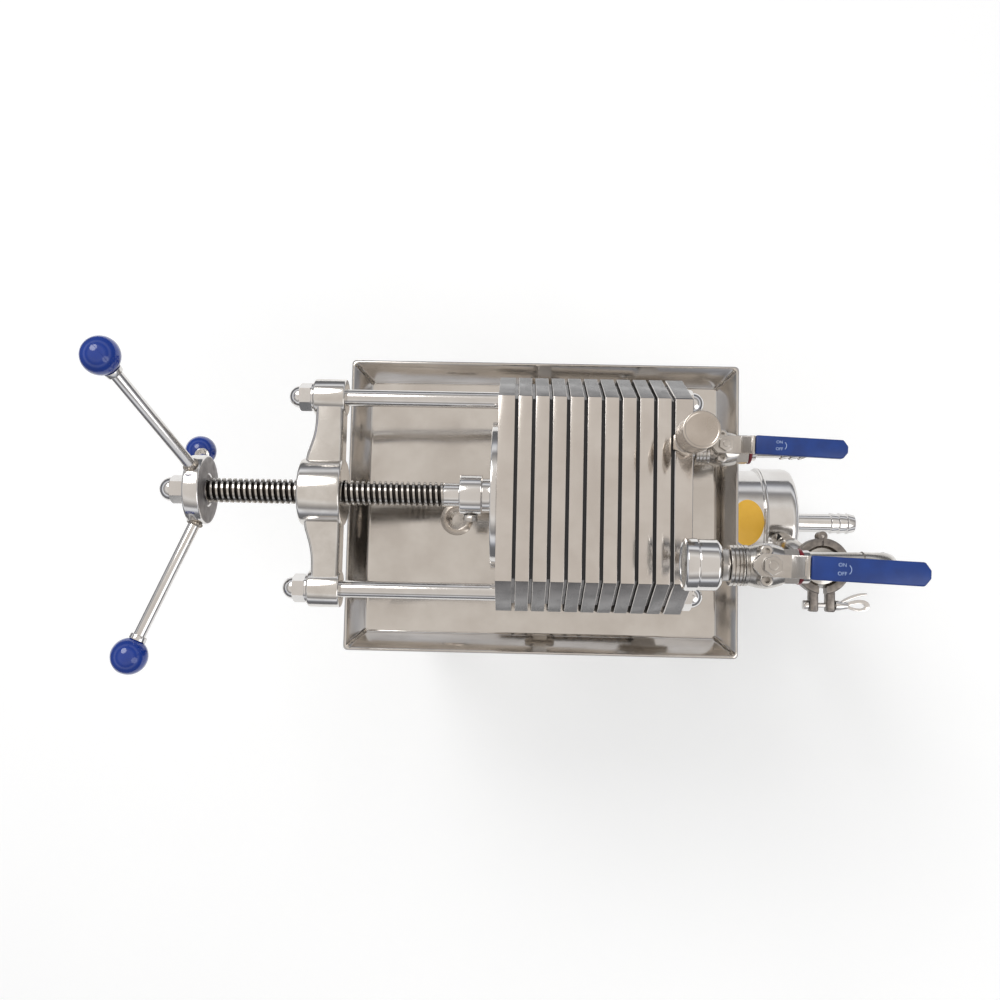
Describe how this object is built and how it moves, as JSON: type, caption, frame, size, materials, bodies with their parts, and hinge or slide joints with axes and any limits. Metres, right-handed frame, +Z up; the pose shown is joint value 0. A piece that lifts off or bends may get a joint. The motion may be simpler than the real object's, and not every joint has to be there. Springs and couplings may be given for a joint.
{
  "type": "plate filter press",
  "caption": "Small stainless plate filter press: screw with a star handle, plates on tie rods over a drip tray, ball valves, gauge, and a pump on the shelf below.",
  "frame": {"origin": "middle of the object's outline seen from above, on the floor under the feet", "axes": "+X runs along the screw from the star handle to the valves and the pump, +Y is the far side and +Z is up"},
  "size_m": [0.778, 0.3042, 0.72],
  "materials": {
    "polished_stainless": "polished",
    "satin_stainless": "satin",
    "cast_stainless": "cast, dull",
    "blue_plastic": "glossy",
    "maroon_seal": "satin",
    "black_rubber": "matte",
    "motor_paint": "satin"
  },
  "bodies": {
    "press_base": {"bleed_nozzle": "polished_stainless", "bleed_seal": "maroon_seal", "bleed_valve_body": "satin_stainless", "clamp_bolt": "satin_stainless", "clamp_ring": "cast_stainless", "discharge_pipe": "satin_stainless", "drip_tray": "polished_stainless", "feed_pipe": "satin_stainless", "fixed_plate": "polished_stainless", "foot_left_far": "black_rubber", "foot_left_near": "black_rubber", "foot_right_far": "black_rubber", "foot_right_near": "black_rubber", "head_foot": "satin_stainless", "hose_tail": "polished_stainless", "leg_left_far": "satin_stainless", "leg_left_near": "satin_stainless", "leg_right_far": "satin_stainless", "leg_right_near": "satin_stainless", "motor": "motor_paint", "motor_shelf": "satin_stainless", "outlet_port": "satin_stainless", "outlet_seal": "maroon_seal", "outlet_valve_body": "satin_stainless", "pressure_gauge": "polished_stainless", "pump_casing": "polished_stainless", "riser": "satin_stainless", "rod_post_far": "satin_stainless", "rod_post_near": "satin_stainless", "suction_tail": "polished_stainless", "tie_rod_far": "polished_stainless", "tie_rod_near": "polished_stainless", "tray_drain": "satin_stainless", "vent_cap": "polished_stainless", "yoke": "polished_stainless"},
    "pressure_head": {"thrust_head": "polished_stainless", "follower_plate": "polished_stainless"},
    "screw_and_handle": {"screw": "satin_stainless", "handle_hub": "satin_stainless", "handle_arm_1": "satin_stainless", "handle_arm_2": "satin_stainless", "handle_arm_3": "satin_stainless", "handle_ball_1": "blue_plastic", "handle_ball_2": "blue_plastic", "handle_ball_3": "blue_plastic"},
    "bleed_lever": {"bleed_valve_lever": "polished_stainless", "bleed_valve_grip": "blue_plastic"},
    "outlet_lever": {"outlet_valve_lever": "polished_stainless", "outlet_valve_grip": "blue_plastic"},
    "plate_1": {"filter_plate_1": "polished_stainless"},
    "plate_2": {"filter_plate_2": "polished_stainless"},
    "plate_3": {"filter_plate_3": "polished_stainless"},
    "plate_4": {"filter_plate_4": "polished_stainless"},
    "plate_5": {"filter_plate_5": "polished_stainless"},
    "plate_6": {"filter_plate_6": "polished_stainless"},
    "plate_7": {"filter_plate_7": "polished_stainless"},
    "plate_8": {"filter_plate_8": "polished_stainless"},
    "plate_9": {"filter_plate_9": "polished_stainless"}
  },
  "joints": [
    {"name": "head_slide", "type": "slide", "parent": "press_base", "child": "pressure_head", "axis": [1, 0, 0], "range_m": [-0.0796, 0]},
    {"name": "screw_turn", "type": "hinge", "parent": "pressure_head", "child": "screw_and_handle", "pos_m": [-0.1071, 0.01062, 0.52], "axis": [1, 0, 0], "range_deg": [-5724, 0]},
    {"name": "bleed_lever_turn", "type": "hinge", "parent": "press_base", "child": "bleed_lever", "pos_m": [0.1346, -0.04838, 0.672], "axis": [0, 0, 1], "range_deg": [-87.8, 2.2]},
    {"name": "outlet_lever_turn", "type": "hinge", "parent": "press_base", "child": "outlet_lever", "pos_m": [0.142, 0.06112, 0.48], "axis": [0, 0, 1], "range_deg": [-87.8, 2.2]},
    {"name": "plate_1_slide", "type": "slide", "parent": "press_base", "child": "plate_1", "axis": [1, 0, 0], "range_m": [-0.07165, 0]},
    {"name": "plate_2_slide", "type": "slide", "parent": "press_base", "child": "plate_2", "axis": [1, 0, 0], "range_m": [-0.0637, 0]},
    {"name": "plate_3_slide", "type": "slide", "parent": "press_base", "child": "plate_3", "axis": [1, 0, 0], "range_m": [-0.05575, 0]},
    {"name": "plate_4_slide", "type": "slide", "parent": "press_base", "child": "plate_4", "axis": [1, 0, 0], "range_m": [-0.0478, 0]},
    {"name": "plate_5_slide", "type": "slide", "parent": "press_base", "child": "plate_5", "axis": [1, 0, 0], "range_m": [-0.03985, 0]},
    {"name": "plate_6_slide", "type": "slide", "parent": "press_base", "child": "plate_6", "axis": [1, 0, 0], "range_m": [-0.0319, 0]},
    {"name": "plate_7_slide", "type": "slide", "parent": "press_base", "child": "plate_7", "axis": [1, 0, 0], "range_m": [-0.02395, 0]},
    {"name": "plate_8_slide", "type": "slide", "parent": "press_base", "child": "plate_8", "axis": [1, 0, 0], "range_m": [-0.016, 0]},
    {"name": "plate_9_slide", "type": "slide", "parent": "press_base", "child": "plate_9", "axis": [1, 0, 0], "range_m": [-0.00805, 0]}
  ],
  "couplings": [
    {"joint": "head_slide", "follows": "screw_turn", "m_per_rad": 0.00079577},
    {"joint": "plate_1_slide", "follows": "screw_turn", "m_per_rad": 0.0007162},
    {"joint": "plate_2_slide", "follows": "screw_turn", "m_per_rad": 0.00063662},
    {"joint": "plate_3_slide", "follows": "screw_turn", "m_per_rad": 0.00055704},
    {"joint": "plate_4_slide", "follows": "screw_turn", "m_per_rad": 0.00047746},
    {"joint": "plate_5_slide", "follows": "screw_turn", "m_per_rad": 0.00039789},
    {"joint": "plate_6_slide", "follows": "screw_turn", "m_per_rad": 0.00031831},
    {"joint": "plate_7_slide", "follows": "screw_turn", "m_per_rad": 0.00023873},
    {"joint": "plate_8_slide", "follows": "screw_turn", "m_per_rad": 0.00015915},
    {"joint": "plate_9_slide", "follows": "screw_turn", "m_per_rad": 0.000079577}
  ]
}
